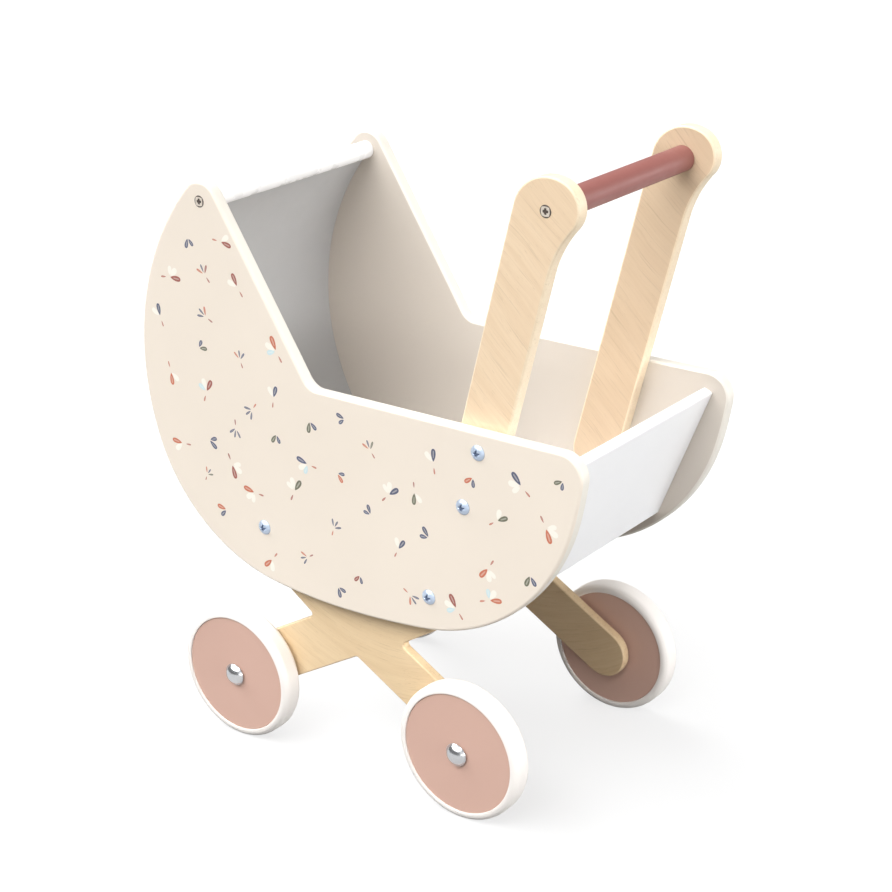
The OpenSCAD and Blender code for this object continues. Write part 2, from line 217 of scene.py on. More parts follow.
def plate(name, outline, y0, y1, r, mats, node, segs=5, wrap=(0, 0)):
    """A board from the outline between y0 and y1, its edges rounded by r in segs strips. mats
    are for the +Y face, the edge and the -Y face, and wrap is how many strips of the rounding
    go with the two faces. Everything is in mm."""
    keep = 0.35  # width of the strips that hold the shading of the flat parts
    bm = bmesh.new()
    n = len(outline)
    normals = []
    for i, p in enumerate(outline):
        e0, e1 = (p - outline[i - 1]).normalized(), (outline[(i + 1) % n] - p).normalized()
        n0, n1 = Vector((e0.y, -e0.x)), Vector((e1.y, -e1.x))
        m = (n0 + n1).normalized()
        normals.append(m / max(0.5, m.dot(n0)))
    ring = [(r + keep, 0.0)]
    for k in range(segs + 1):
        t = math.pi / 2 * k / segs
        ring.append((r * (1 - math.sin(t)), r * (1 - math.cos(t))))
    ring.append((0.0, r + keep))
    levels = [(i, y1 - d) for i, d in ring] + [(i, y0 + d) for i, d in reversed(ring)]
    rows = []
    for inset, y in levels:
        row = []
        for p, m in zip(outline, normals):
            x, z = (p.x - m.x * inset) * MM + SHIFT, (p.y - m.y * inset) * MM
            row.append(bm.verts.new((x, y * MM, z)))
        rows.append(row)
    strips = len(rows) - 1
    for k, (a, b) in enumerate(zip(rows, rows[1:])):
        index = 0 if k <= wrap[0] else 2 if k >= strips - 1 - wrap[1] else 1
        for i in range(n):
            f = bm.faces.new((a[i], a[(i + 1) % n], b[(i + 1) % n], b[i]))
            f.material_index = index
    bm.faces.new(list(reversed(rows[0]))).material_index = 0
    bm.faces.new(rows[-1]).material_index = 2
    return finish_mesh(name, bm, mats, BODY, [node])


def plate_pair(name, node, outline, inner, outer, r, faces, edge, inside, slot, **more):
    """A left plate and its mirror image. faces are the outer materials, left and right."""
    segs, wrap = more.get("segs", 5), more.get("wrap", (0, 0))
    mats = [faces[0], edge, inside]
    plate(name + "_l", outline, inner, outer, r, mats, node + "_left", segs, wrap)
    mats = [inside, edge, faces[1]]
    plate(name + "_r", outline, -outer, -inner, r, mats, node + "_right", segs, wrap[::-1])


def lathe(profile, c, y, sign, segs=96, closed=False):
    """Turns (radius, height) points in mm about the Y axis through c, from y mm outwards."""
    bm = bmesh.new()
    rings = []
    for r, h in profile:
        yy = (y + sign * h) * MM
        if r < 1e-6:
            rings.append([bm.verts.new((c[0], yy, c[1]))])
            continue
        ring = []
        for i in range(segs):
            a = 2 * math.pi * i / segs
            x, z = c[0] + r * MM * math.cos(a), c[1] + r * MM * math.sin(a)
            ring.append(bm.verts.new((x, yy, z)))
        rings.append(ring)
    pairs = list(zip(rings, rings[1:])) + ([(rings[-1], rings[0])] if closed else [])
    for a, b in pairs:
        for i in range(segs):
            j = (i + 1) % segs
            if len(a) == 1 and len(b) > 1:
                bm.faces.new((a[0], b[j], b[i]))
            elif len(b) == 1 and len(a) > 1:
                bm.faces.new((a[i], a[j], b[0]))
            elif len(a) > 1:
                bm.faces.new((a[i], a[j], b[j], b[i]))
    return bm


def round_corner(p, q, s, r):
    """Points of a fillet of radius r at q between p and s."""
    n = 5
    p, q, s = Vector(p), Vector(q), Vector(s)
    a, b = (p - q).normalized(), (s - q).normalized()
    half = a.angle(b) / 2
    t = r / math.tan(half)
    c = q + (a + b).normalized() * r / math.sin(half)
    v0, v1 = q + a * t - c, q + b * t - c
    return [tuple(c + v0.lerp(v1, i / n).normalized() * r) for i in range(n + 1)]


def rounded(profile, radii):
    """Rounds the corners of a profile; radii is one number per point, 0 for a sharp one."""
    out = []
    n = len(profile)
    for i, (p, r) in enumerate(zip(profile, radii)):
        if r:
            out += round_corner(profile[i - 1], p, profile[(i + 1) % n], r)
        else:
            out.append(p)
    return out


def support(profile, d, closed=False):
    """Adds points d from each end of long straight stretches, to hold their shading."""
    out = []
    n = len(profile)
    for i in range(n if closed else n - 1):
        a, b = Vector(profile[i]), Vector(profile[(i + 1) % n])
        out.append(tuple(a))
        if (b - a).length > 4 * d:
            u = (b - a).normalized() * d
            out += [tuple(a + u), tuple(b - u)]
    if not closed:
        out.append(profile[-1])
    return out


def cap(r, half, height):
    """Height at r from its axis of a spherical cap half wide and height high."""
    s = (half * half + height * height) / (2 * height)
    return height - s + math.sqrt(max(0, s * s - r * r))


def screw_into(bm, c, y, sign, hr, top, recess, stem, painted_shade_rim=2.0):
    """A screw head of radius hr at c on the face at y mm. top(rho) is its height in mm at rho
    (0 to 1), recess the size of its cross, and stem the (radius, height) points below the
    rim. The cross, what lies beyond the last argument's share of the head's grid, and the
    first strip below the rim get the second material, a darker copy that is painted shade."""
    aw, al, depth = recess
    grid = 36
    painted_shade_depth = 0.62  # how much of the recess's depth counts as inside it and gets the painted shade
    rows = []
    painted_shade_verts = set()
    for i in range(grid + 1):
        row = []
        for j in range(grid + 1):
            u, v = 2 * i / grid - 1, 2 * j / grid - 1
            x, z = u * math.sqrt(1 - v * v / 2), v * math.sqrt(1 - u * u / 2)
            h = top(min(1.0, math.hypot(x, z)))
            cut = 0.0
            for s, t in ((abs(u), abs(v)), (abs(v), abs(u))):
                side = max(0.0, min(1.0, (aw - t) / (0.5 * aw) + 0.5))
                end = max(0.0, min(1.0, (al - s) / (0.55 * al)))
                cut = max(cut, side * side * (3 - 2 * side) * end)
            h -= depth * cut
            at = (c[0] + x * hr * MM, (y + sign * h) * MM, c[1] + z * hr * MM)
            row.append(bm.verts.new(at))
            if cut > painted_shade_depth or max(abs(u), abs(v)) > painted_shade_rim:
                painted_shade_verts.add(row[-1])
        rows.append(row)
    for i in range(grid):
        for j in range(grid):
            quad = (rows[i][j], rows[i + 1][j], rows[i + 1][j + 1], rows[i][j + 1])
            # faces that touch the cross or the outer rim get the painted shade
            deep = any(v in painted_shade_verts for v in quad)
            bm.faces.new(quad).material_index = 1 if deep else 0
    rim = [rows[i][0] for i in range(grid)] + [rows[grid][j] for j in range(grid)]
    rim += [rows[i][grid] for i in range(grid, 0, -1)] + [rows[0][j] for j in range(grid, 0, -1)]
    m = len(rim)
    prev = rim
    for r, h in stem:
        cur = []
        for v in rim:
            d = Vector((v.co.x - c[0], v.co.z - c[1])).normalized() * r * MM
            cur.append(bm.verts.new((c[0] + d.x, (y + sign * h) * MM, c[1] + d.y)))
        for i in range(m):
            f = bm.faces.new((prev[i], prev[(i + 1) % m], cur[(i + 1) % m], cur[i]))
            # the first strip below the rim gets the painted shade too
            f.material_index = 1 if prev is rim else 0
        prev = cur
    bm.faces.new(prev)


# ---------------------------------------------------------------- materials
def lin(r, g, b):
    def f(v):
        v /= 255
        return v / 12.92 if v <= 0.04045 else ((v + 0.055) / 1.055) ** 2.4

    return (f(r), f(g), f(b), 1.0)


class Tree:
    """Short calls for building a node tree."""

    def __init__(self, nt):
        self.nt = nt

    def feed(self, node, ins):
        """Sets each input to a number or colour, or links it to a socket."""
        for k, v in ins.items():
            if isinstance(v, bpy.types.NodeSocket):
                self.nt.links.new(v, node.inputs[k])
            else:
                node.inputs[k].default_value = v

    def add(self, kind, ins=None, **attrs):
        n = self.nt.nodes.new("ShaderNode" + kind)
        for k, v in attrs.items():
            setattr(n, k, v)
        self.feed(n, ins or {})
        return n

    def math(self, op, a, b=0.0, c=0.0):
        return self.add("Math", {0: a, 1: b, 2: c}, operation=op).outputs[0]

    def vec(self, op, a, b=(0, 0, 0), c=(0, 0, 0)):
        n = self.add("VectorMath", {0: a, 1: b, 2: c}, operation=op)
        return n.outputs["Value" if op in ("DISTANCE", "LENGTH", "DOT_PRODUCT") else "Vector"]

    def mix(self, f, a, b):
        """Between two colours."""
        return self.add("Mix", {0: f, 6: a, 7: b}, data_type="RGBA").outputs[2]

    def mixf(self, f, a, b):
        """Between two numbers."""
        return self.add("Mix", {0: f, 2: a, 3: b}, data_type="FLOAT").outputs[0]

    def steps(self, f, stops):
        """One colour after another, with hard changes."""
        n = self.add("ValToRGB", {0: f})
        cr = n.color_ramp
        cr.interpolation = "CONSTANT"
        while len(cr.elements) > 1:
            cr.elements.remove(cr.elements[-1])
        cr.elements[0].position, cr.elements[0].color = stops[0]
        for pos, col in stops[1:]:
            cr.elements.new(pos).color = col
        return n.outputs[0]

    def smooth(self, v, lo, hi, a=0.0, b=1.0):
        """From a to b as v goes from lo to hi."""
        ins = {0: v, 1: lo, 2: hi, 3: a, 4: b}
        return self.add("MapRange", ins, interpolation_type="SMOOTHSTEP").outputs[0]

    def noise(self, vec, scale, detail=4.0, rough=0.5, dist=0.0):
        ins = {"Vector": vec, "Scale": scale, "Detail": detail, "Roughness": rough}
        return self.add("TexNoise", {**ins, "Distortion": dist}).outputs[0]

    def turned(self, vec, angle):
        """vec turned by angle about Z."""
        ins = {"Vector": vec, "Angle": angle}
        return self.add("VectorRotate", ins, rotation_type="Z_AXIS").outputs[0]


def new_mat(name, base, rough, **fixed):
    """A material and its tree, with constant values on the shader's own sockets."""
    m = bpy.data.materials.new(name)
    m.use_nodes = True
    t = Tree(m.node_tree)
    b = next(n for n in m.node_tree.nodes if n.type == "BSDF_PRINCIPLED")
    b.inputs["Base Color"].default_value = base
    b.inputs["Roughness"].default_value = rough
    for k, v in fixed.items():
        b.inputs[k.replace("_", " ")].default_value = v
    m.diffuse_color = base
    t.bsdf = b
    t.obj = t.add("TexCoord").outputs["Object"]
    return m, t


def set_bump(t, height, strength, distance):
    n = t.add("Bump", {"Height": height, "Strength": strength, "Distance": distance})
    t.nt.links.new(n.outputs[0], t.bsdf.inputs["Normal"])


def link(t, value, socket):
    t.nt.links.new(value, t.bsdf.inputs[socket])


def paint_tree(name, base, rough, var, peel=0.12, **fixed):
    """Sprayed paint: slight mottling, fine orange peel and uneven gloss."""
    m, t = new_mat(name, base, rough, **fixed)
    cloud = t.noise(t.obj, 9.0, 3.0)
    dark = tuple(c * (1 - var * 2) for c in base[:3]) + (1,)
    pale = tuple(min(1, c * (1 + var)) for c in base[:3]) + (1,)
    link(t, t.mix(t.smooth(cloud, 0.3, 0.7), dark, pale), "Base Color")
    gloss = t.smooth(t.noise(t.obj, 60.0, 4.0), 0.3, 0.7, rough - 0.05, rough + 0.06)
    link(t, gloss, "Roughness")
    set_bump(t, t.noise(t.obj, 1400.0, 2.0), peel, 0.00006)
    return m, t


def paint(name, rgb, rough, var, peel=0.12, **fixed):
    return paint_tree(name, lin(*rgb), rough, var, peel, **fixed)[0]


def wood(name, angle, swirl, light, dark, rough=0.42):
    """Pale close-grained wood; angle is the grain's slope in the side view, in degrees,
    and swirl how far it turns over 100 mm along X."""
    m, t = new_mat(name, lin(*light), rough)
    sep = t.add("SeparateXYZ", {0: t.obj}).outputs
    wob = t.noise(t.obj, 7.0, 2.0)
    ang = t.math("MULTIPLY_ADD", sep[0], math.radians(swirl) * 10, math.radians(angle))
    ang = t.math("ADD", ang, t.math("MULTIPLY_ADD", wob, 0.16, -0.08))
    turn = {"Vector": t.obj, "Angle": ang, "Axis": (0, 1, 0)}
    rot = t.add("VectorRotate", turn, rotation_type="AXIS_ANGLE").outputs[0]
    band = t.noise(t.vec("MULTIPLY", rot, (6, 90, 130)), 1.0, 5.0, 0.6, 0.4)
    fibre = t.noise(t.vec("MULTIPLY", rot, (24, 500, 650)), 1.0, 5.0, 0.65)
    streak = t.noise(t.vec("MULTIPLY", rot, (20, 360, 620)), 1.0, 3.0, 0.6, 0.2)
    fleck = t.noise(t.vec("MULTIPLY", rot, (150, 1100, 1500)), 1.0, 2.0, 0.5)
    col = t.mix(t.smooth(band, 0.35, 0.75, 0.0, 0.55), lin(*light), lin(*dark))
    mid = tuple((a + b) / 2 * 0.985 for a, b in zip(light, dark))
    col = t.mix(t.smooth(fibre, 0.4, 0.75, 0.0, 0.6), col, lin(*mid))
    deep = tuple(v * 0.9 for v in dark)
    col = t.mix(t.smooth(streak, 0.56, 0.72, 0.0, 0.52), col, lin(*deep))
    col = t.mix(t.smooth(fleck, 0.64, 0.75, 0.0, 0.45), col, lin(*deep))
    link(t, col, "Base Color")
    link(t, t.smooth(fibre, 0.3, 0.7, rough - 0.06, rough + 0.08), "Roughness")
    set_bump(t, t.math("MULTIPLY_ADD", fleck, -0.4, fibre), 0.25, 0.00012)
    return m


# Colours of the print: leaves and strokes, then the two kinds of pale petal.
PALETTE = [(52, 62, 98), (192, 100, 66), (146, 64, 52), (90, 92, 70), (60, 70, 106)]
PETAL_WHITE = (242, 238, 227)
PETAL_ICE = (200, 222, 226)
# A sprig is cut off this many metres from its centre. Places are more than twice as far
# apart, so no two sprigs overlap.
SPRIG_R = 0.0132


def petal_group():
    """Mask and inner stroke of one petal that starts some way from the centre along an angle."""
    g = bpy.data.node_groups.new("petal", "ShaderNodeTree")
    for n in ("P", "Angle", "Start", "Length", "Half"):
        kind = "NodeSocketVector" if n == "P" else "NodeSocketFloat"
        g.interface.new_socket(n, in_out="INPUT", socket_type=kind)
    for n in ("Mask", "Core"):
        g.interface.new_socket(n, in_out="OUTPUT", socket_type="NodeSocketFloat")
    t = Tree(g)
    i = g.nodes.new("NodeGroupInput").outputs
    o = g.nodes.new("NodeGroupOutput").inputs
    neg = t.math("MULTIPLY", i["Angle"], -1.0)
    s = t.add("SeparateXYZ", {0: t.turned(i["P"], neg)}).outputs
    k = t.math("DIVIDE", t.math("SUBTRACT", s[0], i["Start"]), i["Length"])
    inside = t.math("MULTIPLY", t.math("GREATER_THAN", k, 0.0), t.math("LESS_THAN", k, 1.0))
    k = t.math("MINIMUM", t.math("MAXIMUM", k, 0.0), 1.0)
    blunt = t.math("POWER", t.math("SUBTRACT", 1.0, k), 0.42)
    w = t.math("MULTIPLY", t.math("POWER", k, 0.8), blunt)
    w = t.math("MULTIPLY", t.math("MULTIPLY", w, 2.15), i["Half"])
    v = t.math("ABSOLUTE", s[1])
    mask = t.math("MULTIPLY", t.smooth(t.math("SUBTRACT", w, v), 0.0, 0.00022), inside)
    cw = t.math("SUBTRACT", t.math("MULTIPLY", w, 0.3), v)
    core = t.math("MULTIPLY", t.smooth(cw, -0.0001, 0.0002), t.smooth(k, 0.22, 0.36))
    core = t.math("MULTIPLY", core, t.smooth(k, 0.8, 0.9, 1.0, 0.0))
    g.links.new(mask, o["Mask"])
    g.links.new(t.math("MULTIPLY", core, mask), o["Core"])
    return g


def inside_outline(p, outline):
    """Whether p is inside: a line from it crosses the outline an odd number of times."""
    hit = False
    n = len(outline)
    for i in range(n):
        a, b = outline[i], outline[(i + 1) % n]
        if (a.y > p.y) != (b.y > p.y) and p.x < (b.x - a.x) * (p.y - a.y) / (b.y - a.y) + a.x:
            hit = not hit
    return hit


def split(outline, pieces):
    """Cuts each side of the outline into pieces(its length) equal parts."""
    out = []
    for a, b in zip(outline, outline[1:] + outline[:1]):
        n = pieces((b - a).length)
        out += [a.lerp(b, k / n) for k in range(n)]
    return out


def sprig_places(outline, avoid, count, seed):
    """Evenly scattered places inside the outline, clear of its edge and of the screws: each
    is the best of many random tries."""
    tries, from_edge, from_screw, apart, dense = 90, 13, 17, 27, 12
    rnd = random.Random(seed)
    edge = split(outline, lambda d: 4 if d > dense else 1)
    edge = split(edge, lambda d: 1 + int(d / dense))
    places = []
    while len(places) < count:
        best = None
        for _ in range(tries):
            p = Vector((rnd.uniform(-235, 220), rnd.uniform(150, 500)))
            if not inside_outline(p, outline):
                continue
            d = min((p - q).length for q in edge)
            if d < from_edge or any((p - q).length < from_screw for q in avoid):
                continue
            gap = min([(p - q).length for q in places] + [2.2 * d + 10])
            if best is None or gap > best[0]:
                best = (gap, p)
        if best is None or best[0] < apart:
            break
        places.append(best[1])
    return places


def printed(name, base, places, seed):
    """Paint with a sprig of small petals at each place. White noise on the place picks one of
    three kinds of sprig, its size and its colours."""
    m, t = paint_tree(name, lin(*base), 0.38, 0.008)
    petal = petal_group()
    rnd = random.Random(seed)
    sep = t.add("SeparateXYZ", {0: t.obj}).outputs
    p = t.add("CombineXYZ", {0: sep[0], 1: sep[2]}).outputs[0]
    acc = None
    for q in places:
        c = (q.x * MM + SHIFT, q.y * MM, rnd.uniform(0.1, 1.0))
        d = t.vec("DISTANCE", p, (c[0], c[1], 0))
        hit = t.math("LESS_THAN", d, SPRIG_R)
        if acc is None:
            acc = t.vec("MULTIPLY", hit, c)
        else:
            acc = t.vec("MULTIPLY_ADD", hit, c, acc)
    s = t.add("SeparateXYZ", {0: acc}).outputs
    local = t.vec("SUBTRACT", p, t.add("CombineXYZ", {0: s[0], 1: s[1]}).outputs[0])
    on = t.math("GREATER_THAN", s[2], 0.05)
    wn = t.add("TexWhiteNoise", {"Vector": acc}, noise_dimensions="3D").outputs
    r = t.add("SeparateColor", {0: wn["Color"]}).outputs
    r1, r2, r3 = r[0], r[1], r[2]
    r4 = wn["Value"]
    turn = t.math("MULTIPLY", s[2], 40.0)
    local = t.turned(local, turn)
    is_b = t.math("GREATER_THAN", r1, 0.8)
    is_c = t.math("LESS_THAN", r1, 0.2)

    def pick(a, b, c):
        return t.mixf(is_c, t.mixf(is_b, a, b), c)

    def colour(f):
        stops = [(i / len(PALETTE), lin(*c)) for i, c in enumerate(PALETTE)]
        return t.steps(f, stops)

    r5 = t.math("FRACT", t.math("MULTIPLY", r4, 7.31))
    white = t.mix(t.math("GREATER_THAN", r5, 0.55), lin(*PETAL_WHITE), lin(*PETAL_ICE))
    rust = t.mix(r5, lin(*PALETTE[2]), lin(*PALETTE[1]))
    other = t.mixf(t.math("GREATER_THAN", r2, 0.4), 0.0, 1.0)
    big = t.math("MULTIPLY_ADD", r2, 0.3, 0.94)
    solid = t.math("MAXIMUM", is_b, is_c)
    petals = [
        # angle, start, length, half width (mm), colour
        (pick(0.36, 0.5, 0.66), 1.0, pick(10.5, 8.0, 6.5), pick(2.3, 1.9, 0.95), colour(r3)),
        (
            pick(-0.46, -0.5, -0.08),
            pick(1.4, 1.2, 1.5),
            pick(9.2, 6.6, 6.0),
            pick(2.5, 1.7, 0.85),
            t.mix(solid, lin(*PETAL_WHITE), colour(r4)),
        ),
        (
            pick(-1.15, 0.0, -0.8),
            pick(1.4, 1.0, 1.5),
            pick(7.6, 5.0, 6.2),
            t.math("MULTIPLY", pick(2.0, 0.01, 0.9), t.mixf(is_c, other, 1.0)),
            t.mix(is_c, white, colour(r5)),
        ),
        (
            pick(3.35, 0.0, 2.8),
            pick(3.6, 1.0, 2.0),
            pick(5.4, 4.0, 4.6),
            pick(0.85, 0.01, 0.7),
            rust,
        ),
    ]

    def sized(v):
        """mm to metres, times the sprig's size."""
        if isinstance(v, bpy.types.NodeSocket):
            return t.math("MULTIPLY", t.math("MULTIPLY", v, MM), big)
        return v * MM

    col = t.bsdf.inputs["Base Color"].links[0].from_socket
    for ang, start, length, half, c in petals:
        g = t.add("Group", node_tree=petal)
        t.feed(g, {"P": local, "Angle": ang, "Start": sized(start)})
        t.feed(g, {"Length": sized(length), "Half": sized(half)})
        mask = t.math("MULTIPLY", g.outputs["Mask"], on)
        pale = t.mix(0.34, c, lin(*PETAL_WHITE))
        c = t.mix(t.math("MULTIPLY", g.outputs["Core"], 0.9), c, pale)
        col = t.mix(t.math("MULTIPLY", mask, 0.95), col, c)
    link(t, col, "Base Color")
    return m


# ---------------------------------------------------------------- the pieces
# How far the edges of the boards are rounded, in mm.
PANEL_EDGE, HOOD_EDGE, REAR_EDGE, FLOOR_EDGE, ARM_EDGE, LEG_EDGE = 2.4, 0.7, 0.8, 0.6, 1.6, 1.2

panel = side_outline()
# The round-head screws of one side: two of the arm, then two of the under-frame.
SCREWS = [Vector(p) for p in ((-122.8, 275.9), (-137.7, 324.6), (-87.6, 188.5), (86.6, 206))]
SPRIGS, CREAM = 54, (232, 221, 207)
# The side panels' inner faces are a darker cream: painted shade for the inside of the body.
cream_painted_shade = paint("cream_inside_painted_shade", (209, 200, 189), 0.4, 0.008)
cream_edge = paint("cream_edge", (226, 221, 211), 0.36, 0.008)
prints = []
for side, place_seed, sprig_seed in (("left", 11, 5), ("right", 12, 6)):
    places = sprig_places(panel, SCREWS + [TIP], SPRIGS, place_seed)
    prints.append(printed("cream_print_" + side, CREAM, places, sprig_seed))
plate_pair(
    "side_panel", "side_panel", panel, HALF, OUT, PANEL_EDGE,
    prints, cream_edge, cream_painted_shade, "cream_board", segs=6, wrap=(5, 1),
)

white = paint("white_paint", (240, 240, 241), 0.42, 0.006)
# The hood sheet's concave inside is painted a light grey: painted shade for its hollow.
hood_painted_shade = paint("hood_inside_painted_shade", (172, 172, 172), 0.5, 0.006)
coat = {"Coat_Weight": 0.3, "Coat_Roughness": 0.3}
gloss_white = paint("white_lacquer", (240, 240, 240), 0.3, 0.004, 0.06, **coat)

# The hood sheet ends inside the rod and just below the floor's underside, and its sides are
# let into the panels.
FLOOR_Z, FLOOR_T = 217.0, 9.0
IN_ROD, BELOW_FLOOR, LET_IN = 4, 3, 2
tip_a = math.degrees(math.atan2(TIP.y - SHELL_C.y, TIP.x - SHELL_C.x))
top_a = tip_a - math.degrees(math.asin(IN_ROD / SHELL_R))
low_a = -math.degrees(math.asin((SHELL_C.y - FLOOR_Z + BELOW_FLOOR) / SHELL_R))
shell = arc(SHELL_C, SHELL_R + SHELL_HALF, low_a, top_a, 2.5)
shell = tidy(shell + arc(SHELL_C, SHELL_R - SHELL_HALF, top_a, low_a, 2.5))
hood = plate(
    "hood_sheet", shell, -HALF - LET_IN, HALF + LET_IN, HOOD_EDGE,
    [white, hood_painted_shade, white], "hood_shell", 3,
)
for f in hood.data.polygons:  # only the concave face keeps the grey inside paint, which is painted shade
    away = Vector((f.center.x - SHIFT, f.center.z)) / MM - SHELL_C
    if Vector((f.normal.x, f.normal.z)).dot(away) > 0:
        f.material_index = 0


def round_bar(name, c, r, half, mat, node):
    """A round bar along Y that reaches half its length to each side."""
    prof = rounded([(0, 0), (r, 0), (r, 2 * half), (0, 2 * half)], [0, 0.8, 0.8, 0])
    finish_mesh(name, lathe(support(prof, 0.6), c, -half, 1), [mat], BODY, [node])


ROD_R, BAR_R = 8, 10.5
ROD_UP = 2  # the rod's axis stands this far above the middle of the hood's tip
rod_c = (TIP.x * MM + SHIFT, (TIP.y + ROD_UP) * MM)
round_bar("hood_bar", rod_c, ROD_R, HALF, gloss_white, "hood_rod")

REAR_LEAN, REAR_T, REAR_H = math.radians(22.4), 9, 130
foot = Vector((-169.5, 205))
up = Vector((-math.sin(REAR_LEAN), math.cos(REAR_LEAN)))
ahead = Vector((math.cos(REAR_LEAN), math.sin(REAR_LEAN)))
inner_foot = foot + ahead * REAR_T
rear = [foot, inner_foot, inner_foot + up * REAR_H, foot + up * REAR_H]
rear = board_outline(rear, 1.5)
plate("rear_panel", rear, -HALF, HALF, REAR_EDGE, [white] * 3, "rear_board")


def rear_x(z):
    """Where the rear board's inner face is at height z."""
    return inner_foot.x - (z - inner_foot.y) * math.tan(REAR_LEAN)


def shell_x(z):
    """Where the hood sheet's inner face is at height z."""
    r = SHELL_R - SHELL_HALF
    return SHELL_C.x + math.sqrt(r * r - (SHELL_C.y - z) ** 2)


low, high = FLOOR_Z, FLOOR_Z + FLOOR_T
floor = [(rear_x(low), low), (shell_x(low), low), (shell_x(high), high), (rear_x(high), high)]
floor = board_outline([Vector(p) for p in floor], 0.6)
plate(
    "floor_panel", floor, -HALF, HALF, FLOOR_EDGE,
    [white] * 3, "floor_board", 3,
)

arm_wood = wood("arm_wood", 44, 0, (232, 208, 177), (221, 193, 160))
# The arms' inner faces are a darker copy of the same wood: painted shade.
arm_painted_shade = wood("arm_inside_painted_shade_wood", 44, 0, (214, 190, 161), (203, 176, 145))
arm_edge = wood("arm_edge_wood", 44, 0, (236, 218, 190), (226, 204, 172))
plate_pair(
    "arm", "handle_arm", arm_outline(), ARM_IN, HALF, ARM_EDGE,
    [arm_wood] * 2, arm_edge, arm_painted_shade, "pale_wood",
)

leg_wood = wood("leg_wood", 6, 14, (226, 201, 163), (212, 183, 143))
# The frames' inner faces are a darker copy of the same wood: painted shade.
leg_painted_shade = wood("leg_inside_painted_shade_wood", 6, 14, (208, 183, 147), (194, 165, 127))
plate_pair(
    "cross", "cross_frame", cross_outline(), FRAME_IN, HALF, LEG_EDGE,
    [leg_wood] * 2, leg_wood, leg_painted_shade, "pale_wood",
)

mauve = paint("mauve_lacquer", (143, 90, 84), 0.45, 0.015, 0.1)
arm_head = Vector((centre_of("handle_bar")[0] - SHIFT, centre_of("handle_bar")[2])) / MM
bar_c = (arm_head.x * MM + SHIFT, arm_head.y * MM)
round_bar("grip_bar", bar_c, BAR_R, ARM_IN, mauve, "handle_bar")


def metal(name, rgb, rough, scratch=0.2, metallic=1.0):
    m, t = new_mat(name, lin(*rgb), rough, Metallic=metallic)
    n = t.noise(t.vec("MULTIPLY", t.obj, (900, 300, 900)), 1.0, 4.0)
    link(t, t.smooth(n, 0.3, 0.7, rough * 0.8, rough * 1.3), "Roughness")
    set_bump(t, t.noise(t.obj, 2600.0, 2.0), scratch, 0.00003)
    return m


zinc = metal("zinc_steel", (188, 202, 222), 0.42, metallic=0.65)
# Darker copies of the zinc and the steel: painted shade for the screws' crosses and rims.
recess = metal("zinc_recess_painted_shade", (84, 100, 128), 0.6, metallic=0.0)
steel_painted_shade = metal("steel_recess_painted_shade", (74, 64, 58), 0.6, metallic=0.0)
steel = metal("bare_steel", (218, 208, 196), 0.45, metallic=0.6)
chrome = metal("chrome", (205, 207, 210), 0.2, scratch=0.05)
brass = metal("brass", (205, 176, 112), 0.35)

HEAD_R, HEAD_H = 6.5, 3.2  # round heads
SHOWN = 0.985  # share of the radius that the head's grid covers
FLAT_R = 4.95  # flat heads
# Their crosses: arm half width and arm length as shares of the radius, and depth in mm.
ROUND_CROSS, FLAT_CROSS = (0.12, 0.6, 1.3), (0.19, 0.72, 0.33)


def round_top(rho):
    return max(0.25, cap(rho * HEAD_R * SHOWN, HEAD_R, HEAD_H))


bm = bmesh.new()
shank = [(6.45, 0.0), (3.0, 0.0), (3.0, -18.6), (2.6, -19.0)]
for face, sign in ((OUT, 1), (-OUT, -1)):
    for q in SCREWS:
        c = (q.x * MM + SHIFT, q.y * MM)
        screw_into(bm, c, face, sign, HEAD_R * SHOWN, round_top, ROUND_CROSS, shank)
nodes = ["arm_screws", "frame_screws"]
finish_mesh("round_head_screws", bm, [zinc, recess], BODY, nodes, 40)


def flat_top(rho):
    """Flat, with a bevelled rim."""
    return 0.4 - 0.25 * max(0.0, rho - 0.85) / 0.15


for name, c, face, node in (
    ("rod_screws", rod_c, OUT, "hood_rod_screws"),
    ("bar_screws", bar_c, HALF, "handle_bar_screws"),
):
    bm = bmesh.new()
    stem = [(5.0, 0.0), (2.5, -3.0), (2.5, -30), (0.4, -34)]
    for sign in (1, -1):
        screw_into(bm, c, sign * face, sign, FLAT_R, flat_top, FLAT_CROSS, stem, 0.83)
    finish_mesh(name, bm, [steel, steel_painted_shade], BODY, [node], 40)

disc_paint = paint("wheel_paint", (203, 167, 152), 0.42, 0.012)
tyre_foam = paint("tyre_foam", (240, 235, 230), 0.62, 0.006, 0.3)
nylon = paint("nylon", (226, 226, 220), 0.45, 0.01)

# Wheels, in mm: the tyre outside the disc, the wheel's inner side, and the axle bolt's dome,
# which starts some way out from that side.
TYRE_R, DISC_R, BORE_R, TYRE_W = 60, 53, 6.5, 20
WHEEL_IN, DOME_OUT = HALF + 2.5, 20.3
DOME_R, DOME_H, DOME_RINGS = 10.0, 6.0, 14


def wheel_ring(name, r0, r1, h0, h1, radii, mat, key, node, sharp=None):
    """A ring with rounded corners, from radius r0 to r1 and from h0 to h1 across the wheel."""
    prof = support(rounded([(r0, h0), (r1, h0), (r1, h1), (r0, h1)], radii), 0.5, True)
    c, sign = (AXLES[key][0], AXLES[key][2]), 1 if key[1] == "l" else -1
    bm = lathe(prof, c, sign * WHEEL_IN, sign, 128, True)
    finish_mesh(name + key, bm, [mat], WHEELS[key], [node + key], sharp)


